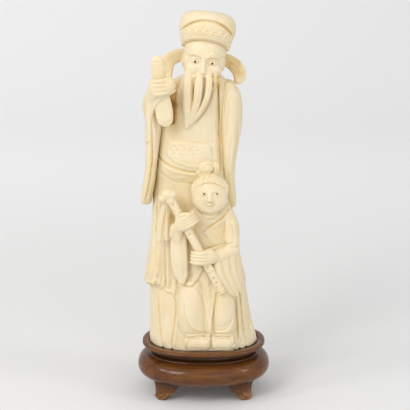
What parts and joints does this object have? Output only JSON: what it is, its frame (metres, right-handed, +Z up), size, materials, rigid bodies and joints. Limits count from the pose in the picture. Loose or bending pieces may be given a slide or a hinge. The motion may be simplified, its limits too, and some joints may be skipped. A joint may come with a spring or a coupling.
{
  "type": "carved figure group on a stand",
  "caption": "Carved bone figure of a bearded scholar in a winged hat with a child who holds a flute, on a footed oval wood stand that it lifts off.",
  "frame": {"origin": "on the floor under the middle of the stand, midway between the four feet", "axes": "+Z up, the figure faces -Y, +X is to the viewer's right from the front"},
  "size_m": [0.0928, 0.0728, 0.2702],
  "materials": {
    "bone": "hand-polished cream bone with amber patina in the recesses",
    "bone_core": "sawn and glued bone pegs",
    "rosewood": "red-brown hardwood, shellac polish",
    "eye_inlay": "polished black horn"
  },
  "bodies": {
    "stand": {"foot_front_left": "rosewood", "foot_front_right": "rosewood", "foot_back_left": "rosewood", "foot_back_right": "rosewood", "foot_front_left_dowel": "rosewood", "foot_front_right_dowel": "rosewood", "foot_back_left_dowel": "rosewood", "foot_back_right_dowel": "rosewood", "stand_drum": "rosewood", "stand_waist": "rosewood", "stand_plate": "rosewood", "stand_dowel": "rosewood"},
    "figure": {"scholar_robe": "bone", "marrow_plug": "bone_core", "neck_dowel": "bone_core", "scholar_head": "bone", "scholar_eye_left": "eye_inlay", "scholar_eye_right": "eye_inlay", "hat": "bone", "hat_wing_left": "bone", "hat_wing_right": "bone", "raised_sleeve": "bone", "raised_hand": "bone", "held_tablet": "bone", "lowered_sleeve": "bone", "raised_sleeve_pin": "bone_core", "lowered_sleeve_pin": "bone_core", "child_body": "bone", "child_head": "bone", "child_eye_left": "eye_inlay", "child_eye_right": "eye_inlay", "flute": "bone", "flute_tassel": "bone", "child_hand_upper": "bone", "child_hand_lower": "bone", "child_pin_upper": "bone_core", "child_pin_lower": "bone_core"}
  },
  "joints": [
    {"name": "figure_lift", "type": "slide", "parent": "stand", "child": "figure", "axis": [0, 0, 1], "range_m": [0, 0.02]}
  ]
}
